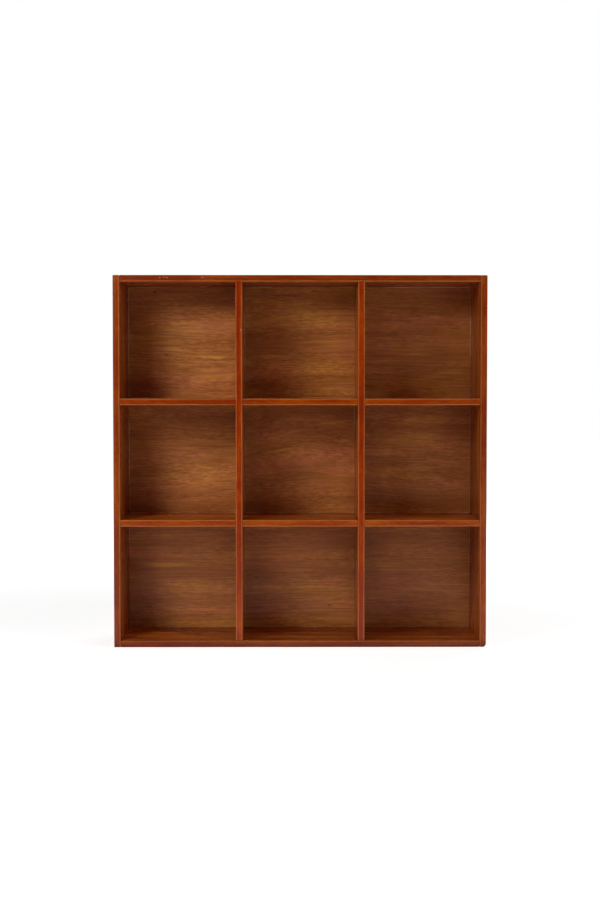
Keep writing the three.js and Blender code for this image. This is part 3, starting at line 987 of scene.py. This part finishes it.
class SHELF_OT_fixings(Operator):
    """Finish the brads and fill the holes over those in the case"""
    bl_idname = "shelf.fixings"
    bl_label = "Brads and putty"

    def execute(self, context):
        steel = wire_steel()
        for name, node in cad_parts.items():
            if name.startswith("brad_"):
                node.data.materials.clear()
                node.data.materials.append(steel)
        putty = dried("brad_putty", tuple(colours().putty), 0.6, 900.0)
        finish_piece(putty_spots(), putty, None)
        return {"FINISHED"}


def aim(thing, target):
    """Turns a camera or a light so that it looks at a place."""
    way = Vector(target) - thing.location
    thing.rotation_euler = way.to_track_quat("-Z", "Y").to_euler()


# Each lamp's place, the place it looks at, its width and height, and its power in watts: a key from
# the upper left in a near and a far part, a soft fill from the right, and pale light from below.
SHELF_HEART = (0.0, 0.0, 0.2)
LAMPS = {
    "key": ((-0.484, -0.545, 0.575), (-0.13, 0.0, 0.2), (0.17, 0.17), 1.42),
    "key_far": ((-0.556, -0.964, 0.650), SHELF_HEART, (0.25, 0.25), 1.3),
    "fill": ((0.820, -0.910, 0.880), SHELF_HEART, (0.7, 0.7), 1.25),
    "side_fill": ((1.139, -0.658, 0.679), SHELF_HEART, (0.6, 0.6), 3.2),
    "low_left": ((-0.655, -1.231, 0.078), SHELF_HEART, (0.4, 0.2), 0.68),
    "floor_glow": ((0.0, -0.230, 0.002), (0.0, -0.230, 1.0), (0.7, 0.34), 0.32),
    "floor_right": ((0.775, -1.300, 0.002), (0.775, -1.300, 1.0), (0.85, 0.8), 5.5),
    "rear": ((0.600, 1.300, 0.900), SHELF_HEART, (0.9, 0.9), 5.0),
}


# How far the floor reaches, and the camera's place and its two angles, in degrees.
FLOOR_REACH = 12.0
CAMERA_PLACE = (-0.0117, CAD_BOX[0].y - 1.6747, 0.2804)
CAMERA_DIP = 2.327
CAMERA_TURN = -0.393


def make_lamp(name, place, target, size, power):
    lamp = bpy.data.lights.new(name, "AREA")
    lamp.shape = "RECTANGLE"
    lamp.size, lamp.size_y = size
    lamp.energy = power * studio().level
    light = bpy.data.objects.new(name, lamp)
    bpy.context.scene.collection.objects.link(light)
    light.location = place
    light.visible_camera = False
    aim(light, target)


class SHELF_OT_stage(Operator):
    """Make the floor, the lights, the sky and the camera"""
    bl_idname = "shelf.stage"
    bl_label = "Stage"

    def execute(self, context):
        floor_mesh = bpy.data.meshes.new("floor")
        r = FLOOR_REACH
        floor_mesh.from_pydata([(-r, -r, 0), (r, -r, 0), (r, r, 0), (-r, r, 0)], [], [(0, 1, 2, 3)])
        floor = bpy.data.objects.new("floor", floor_mesh)
        context.scene.collection.objects.link(floor)
        floor_mesh.materials.append(pale_floor())

        for name, values in LAMPS.items():
            make_lamp(name, *values)
        self.make_sky(context)
        self.make_camera(context)
        context.scene.view_settings.view_transform = "Standard"
        return {"FINISHED"}

    def make_sky(self, context):
        """White where the camera sees it, and dim where it lights the shelf."""
        world = bpy.data.worlds.new("sky")
        context.scene.world = world
        world.use_nodes = True
        world.node_tree.nodes.clear()
        graph = Graph(world.node_tree)
        seen = graph.add("ShaderNodeLightPath").outputs["Is Camera Ray"]
        white = graph.add("ShaderNodeBackground", {"Color": WHITE, "Strength": 1.0})
        dim = graph.add("ShaderNodeBackground", {"Color": WHITE, "Strength": 0.02})
        mixed = graph.add("ShaderNodeMixShader", {0: seen, 1: dim.outputs[0], 2: white.outputs[0]})
        graph.add("ShaderNodeOutputWorld", {"Surface": mixed.outputs[0]})

    def make_camera(self, context):
        camera = bpy.data.objects.new("camera", bpy.data.cameras.new("camera"))
        camera.data.lens = studio().lens
        camera.data.clip_start = 0.01
        camera.location = CAMERA_PLACE
        camera.rotation_euler = (math.radians(90 - CAMERA_DIP), 0.0, math.radians(CAMERA_TURN))
        context.scene.collection.objects.link(camera)
        context.scene.camera = camera


class SHELF_PT_panel(Panel):
    """Lists the shelf's pieces, sizes and colours"""
    bl_idname = "SHELF_PT_panel"
    bl_label = "Nine-Cell Shelf"
    bl_space_type = "VIEW_3D"
    bl_region_type = "UI"
    bl_category = "Shelf"

    def draw(self, context):
        column = self.layout.column(align=True)
        for operator in OPERATORS:
            column.operator(operator.bl_idname)
        for settings in (sizes(), colours(), studio()):
            box = self.layout.box()
            for name in settings.bl_rna.properties.keys():
                if name not in ("rna_type", "name"):
                    box.prop(settings, name)


OPERATORS = (SHELF_OT_case, SHELF_OT_grid, SHELF_OT_panel, SHELF_OT_fixings, SHELF_OT_stage)
CLASSES = (ShelfSizes, ShelfColours, StudioSettings, *OPERATORS, SHELF_PT_panel)


def register():
    for cls in CLASSES:
        bpy.utils.register_class(cls)
    bpy.types.Scene.shelf_sizes = PointerProperty(type=ShelfSizes)
    bpy.types.Scene.shelf_colours = PointerProperty(type=ShelfColours)
    bpy.types.Scene.shelf_studio = PointerProperty(type=StudioSettings)


def unregister():
    del bpy.types.Scene.shelf_studio
    del bpy.types.Scene.shelf_colours
    del bpy.types.Scene.shelf_sizes
    for cls in reversed(CLASSES):
        bpy.utils.unregister_class(cls)


def main():
    """Makes the shelf and its stage."""
    register()
    build_groups()
    bpy.ops.shelf.case()
    bpy.ops.shelf.grid()
    bpy.ops.shelf.panel()
    bpy.ops.shelf.fixings()
    bpy.ops.shelf.stage()


if __name__ == "__main__":
    main()
